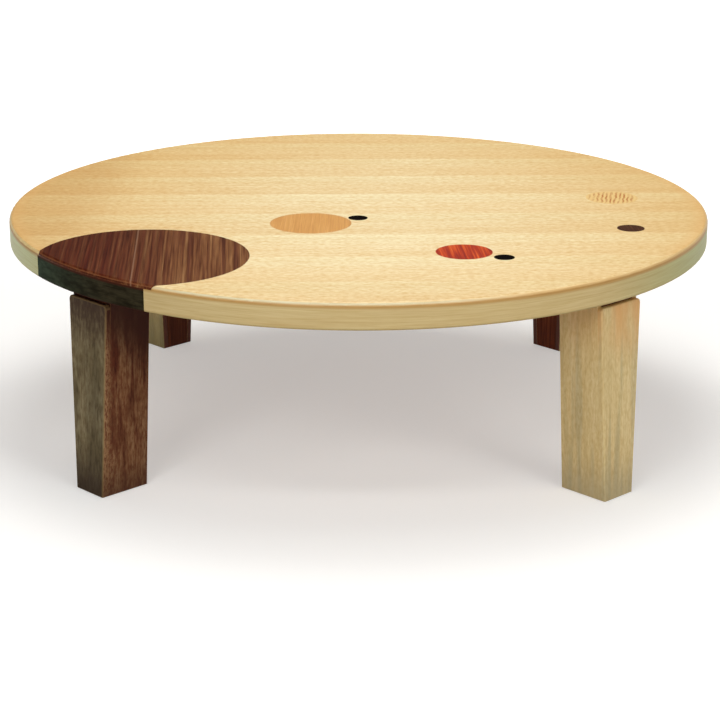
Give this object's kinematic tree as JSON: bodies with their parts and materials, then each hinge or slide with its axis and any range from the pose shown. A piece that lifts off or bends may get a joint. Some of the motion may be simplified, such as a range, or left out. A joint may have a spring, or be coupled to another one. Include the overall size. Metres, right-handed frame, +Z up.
{
  "type": "round folding low table",
  "caption": "Round low wooden table with inlaid discs and tapered legs that fold inward under the top.",
  "frame": {"origin": "on the floor, under the middle of the top, with the legs standing", "axes": "+Z up through the middle of the round top; -Y is the front, the side of the large inlaid disc and the small discs; the legs stand on the diagonals"},
  "size_m": [1.05, 1.05, 0.327],
  "materials": {
    "maple_veneer": "clear satin lacquer",
    "maple_band": "clear satin lacquer",
    "plywood_edge": "lacquered edge",
    "plywood_sheet": "sanded, sealed",
    "softwood": "planed",
    "walnut_band": "clear satin lacquer",
    "walnut_inlay": "clear satin lacquer",
    "cherry_inlay": "clear satin lacquer",
    "padauk_inlay": "clear satin lacquer",
    "ebony_inlay": "clear satin lacquer",
    "rosewood_inlay": "clear satin lacquer",
    "zebrano_inlay": "clear satin lacquer",
    "walnut_board": "clear satin lacquer",
    "pale_board": "clear satin lacquer",
    "felt_pad": "felt",
    "cam_steel": "ground",
    "zinc_steel": "zinc plated",
    "spring_steel": "blued spring temper"
  },
  "bodies": {
    "root": {"top_veneer": "maple_veneer", "top_plywood": "plywood_edge", "inlay_large_walnut": "walnut_inlay", "inlay_cherry": "cherry_inlay", "inlay_padauk": "padauk_inlay", "inlay_ebony_outer": "ebony_inlay", "inlay_ebony_centre": "ebony_inlay", "inlay_rosewood": "rosewood_inlay", "inlay_zebrano": "zebrano_inlay", "edge_band_maple": "maple_band", "edge_band_walnut": "walnut_band", "bottom_plywood": "plywood_sheet", "leg_blocks": "softwood", "core_rails": "softwood", "bracket_screws": "zinc_steel", "spring_rivets": "zinc_steel", "hinge_pins": "zinc_steel", "front_left_bracket": "zinc_steel", "front_left_leaf_spring": "spring_steel", "front_right_bracket": "zinc_steel", "front_right_leaf_spring": "spring_steel", "back_right_bracket": "zinc_steel", "back_right_leaf_spring": "spring_steel", "back_left_bracket": "zinc_steel", "back_left_leaf_spring": "spring_steel"},
    "front_left_leg": {"front_left_outer_board": "walnut_board", "front_left_side_boards": "walnut_board", "front_left_inner_board": "walnut_board", "front_left_head_block": "walnut_board", "front_left_foot_block": "softwood", "front_left_glide_pad": "felt_pad", "front_left_cam_plate": "cam_steel", "front_left_cam_rivets": "zinc_steel"},
    "front_right_leg": {"front_right_outer_board": "pale_board", "front_right_side_boards": "pale_board", "front_right_inner_board": "walnut_board", "front_right_head_block": "walnut_board", "front_right_foot_block": "softwood", "front_right_glide_pad": "felt_pad", "front_right_cam_plate": "cam_steel", "front_right_cam_rivets": "zinc_steel"},
    "back_right_leg": {"back_right_outer_board": "pale_board", "back_right_side_boards": "pale_board", "back_right_inner_board": "walnut_board", "back_right_head_block": "walnut_board", "back_right_foot_block": "softwood", "back_right_glide_pad": "felt_pad", "back_right_cam_plate": "cam_steel", "back_right_cam_rivets": "zinc_steel"},
    "back_left_leg": {"back_left_outer_board": "pale_board", "back_left_side_boards": "pale_board", "back_left_inner_board": "walnut_board", "back_left_head_block": "walnut_board", "back_left_foot_block": "softwood", "back_left_glide_pad": "felt_pad", "back_left_cam_plate": "cam_steel", "back_left_cam_rivets": "zinc_steel"}
  },
  "joints": [
    {"name": "front_left_leg_fold", "type": "hinge", "parent": "root", "child": "front_left_leg", "pos_m": [-0.33074, -0.33074, 0.257], "axis": [0.7071, -0.7071, 0], "range_deg": [0, 90], "deforming": ["front_left_leaf_spring"]},
    {"name": "front_right_leg_fold", "type": "hinge", "parent": "root", "child": "front_right_leg", "pos_m": [0.33074, -0.33074, 0.257], "axis": [0.7071, 0.7071, 0], "range_deg": [0, 90], "deforming": ["front_right_leaf_spring"]},
    {"name": "back_right_leg_fold", "type": "hinge", "parent": "root", "child": "back_right_leg", "pos_m": [0.33074, 0.33074, 0.257], "axis": [-0.7071, 0.7071, 0], "range_deg": [0, 90], "deforming": ["back_right_leaf_spring"]},
    {"name": "back_left_leg_fold", "type": "hinge", "parent": "root", "child": "back_left_leg", "pos_m": [-0.33074, 0.33074, 0.257], "axis": [-0.7071, -0.7071, 0], "range_deg": [0, 90], "deforming": ["back_left_leaf_spring"]}
  ]
}
